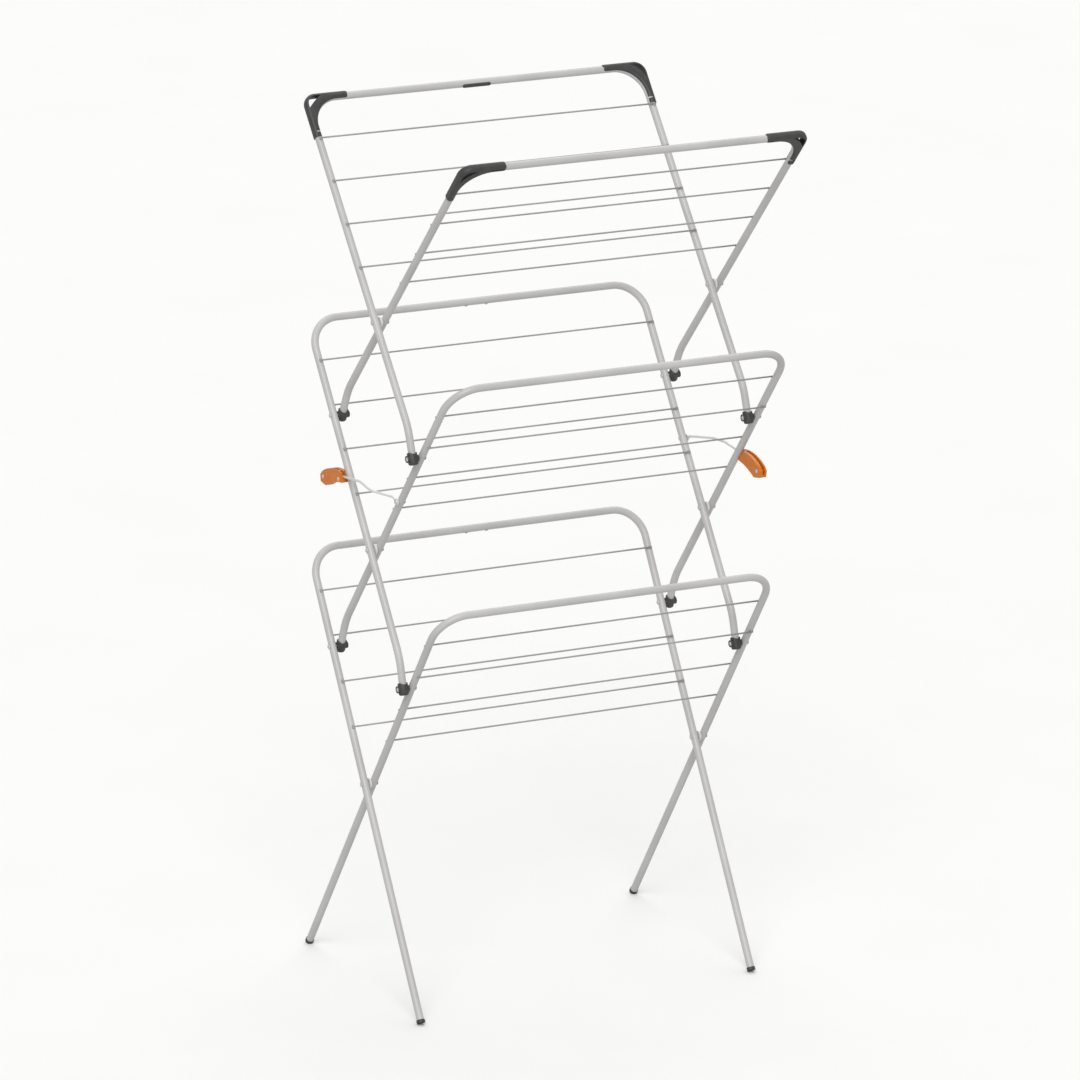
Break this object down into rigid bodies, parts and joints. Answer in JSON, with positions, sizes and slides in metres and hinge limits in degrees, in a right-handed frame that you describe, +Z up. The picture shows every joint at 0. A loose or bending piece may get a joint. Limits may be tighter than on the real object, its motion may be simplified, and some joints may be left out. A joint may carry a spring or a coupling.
{
  "type": "clothes drying rack",
  "caption": "Free-standing folding tower clothes airer: three tiers of crossed tube frames with wire rungs that fold flat like lazy tongs, held open by two side locks.",
  "frame": {"origin": "middle of the footprint, on the floor", "axes": "+Z up, +X along the rungs, -Y towards the front"},
  "size_m": [0.6456, 0.513, 1.4011],
  "materials": {
    "powder_coated_tube": "satin light warm grey powder coat",
    "coated_wire": "satin light grey coat",
    "dark_moulding": "fine satin texture, dark grey",
    "white_moulding": "smooth, off-white",
    "orange_moulding": "satin orange",
    "plated_rod": "bright zinc plate",
    "plated_bolt": "zinc plate"
  },
  "bodies": {
    "lower_rear": {"lower_crossing_bolts": "plated_bolt", "lower_crossing_spacers": "white_moulding", "lower_rear_buffers": "coated_wire", "lower_rear_frame": "powder_coated_tube", "lower_rear_left_foot": "dark_moulding", "lower_rear_right_foot": "dark_moulding", "lower_rear_rungs": "coated_wire"},
    "lower_front": {"lower_front_frame": "powder_coated_tube", "lower_front_left_foot": "dark_moulding", "lower_front_right_foot": "dark_moulding", "lower_front_rungs": "coated_wire"},
    "middle_front": {"left_lock_bolt": "plated_bolt", "middle_crossing_bolts": "plated_bolt", "middle_crossing_spacers": "white_moulding", "middle_front_frame": "powder_coated_tube", "middle_front_hinge_bolts": "plated_bolt", "middle_front_left_end_cap": "dark_moulding", "middle_front_right_end_cap": "dark_moulding", "middle_front_rungs": "coated_wire"},
    "middle_rear": {"middle_rear_buffers": "coated_wire", "middle_rear_frame": "powder_coated_tube", "middle_rear_hinge_bolts": "plated_bolt", "middle_rear_left_end_cap": "dark_moulding", "middle_rear_right_end_cap": "dark_moulding", "middle_rear_rungs": "coated_wire", "right_lock_bolt": "plated_bolt"},
    "upper_front": {"upper_crossing_bolts": "plated_bolt", "upper_crossing_spacers": "white_moulding", "upper_front_frame": "powder_coated_tube", "upper_front_hinge_bolts": "plated_bolt", "upper_front_left_corner": "dark_moulding", "upper_front_left_end_cap": "dark_moulding", "upper_front_right_corner": "dark_moulding", "upper_front_right_end_cap": "dark_moulding", "upper_front_rungs": "coated_wire"},
    "upper_rear": {"upper_rear_bar_pad": "dark_moulding", "upper_rear_frame": "powder_coated_tube", "upper_rear_hinge_bolts": "plated_bolt", "upper_rear_left_corner": "dark_moulding", "upper_rear_left_end_cap": "dark_moulding", "upper_rear_right_corner": "dark_moulding", "upper_rear_right_end_cap": "dark_moulding", "upper_rear_rungs": "coated_wire"},
    "left_lock": {"left_lock_handle": "orange_moulding", "left_lock_pins": "plated_bolt", "left_lock_rod": "plated_rod"},
    "right_lock": {"right_lock_handle": "orange_moulding", "right_lock_pins": "plated_bolt", "right_lock_rod": "plated_rod"}
  },
  "joints": [
    {"name": "fold", "type": "hinge", "parent": "lower_rear", "child": "lower_front", "pos_m": [0, 0, 0.33577], "axis": [1, 0, 0], "range_deg": [-46, 0]},
    {"name": "lower_to_middle_hinge", "type": "hinge", "parent": "lower_rear", "child": "middle_front", "pos_m": [0, 0.12082, 0.52913], "axis": [1, 0, 0], "range_deg": [-46, 0]},
    {"name": "middle_crossing", "type": "hinge", "parent": "middle_front", "child": "middle_rear", "pos_m": [0, 0, 0.72248], "axis": [1, 0, 0], "range_deg": [0, 46]},
    {"name": "middle_to_upper_hinge", "type": "hinge", "parent": "middle_rear", "child": "upper_front", "pos_m": [0, 0.13334, 0.90743], "axis": [1, 0, 0], "range_deg": [-46, 0]},
    {"name": "upper_crossing", "type": "hinge", "parent": "upper_front", "child": "upper_rear", "pos_m": [0, 0, 1.09238], "axis": [1, 0, 0], "range_deg": [0, 46]},
    {"name": "left_lock_swing", "type": "hinge", "parent": "middle_front", "child": "left_lock", "pos_m": [-0.299, -0.06988, 0.81942], "axis": [1, 0, 0], "range_deg": [-40, 0]},
    {"name": "right_lock_swing", "type": "hinge", "parent": "middle_rear", "child": "right_lock", "pos_m": [0.299, 0.06988, 0.81942], "axis": [1, 0, 0], "range_deg": [0, 40]}
  ],
  "couplings": [
    {"joint": "lower_to_middle_hinge", "follows": "fold", "ratio": 1},
    {"joint": "middle_crossing", "follows": "fold", "ratio": -1},
    {"joint": "middle_to_upper_hinge", "follows": "fold", "ratio": 1},
    {"joint": "upper_crossing", "follows": "fold", "ratio": -1}
  ]
}
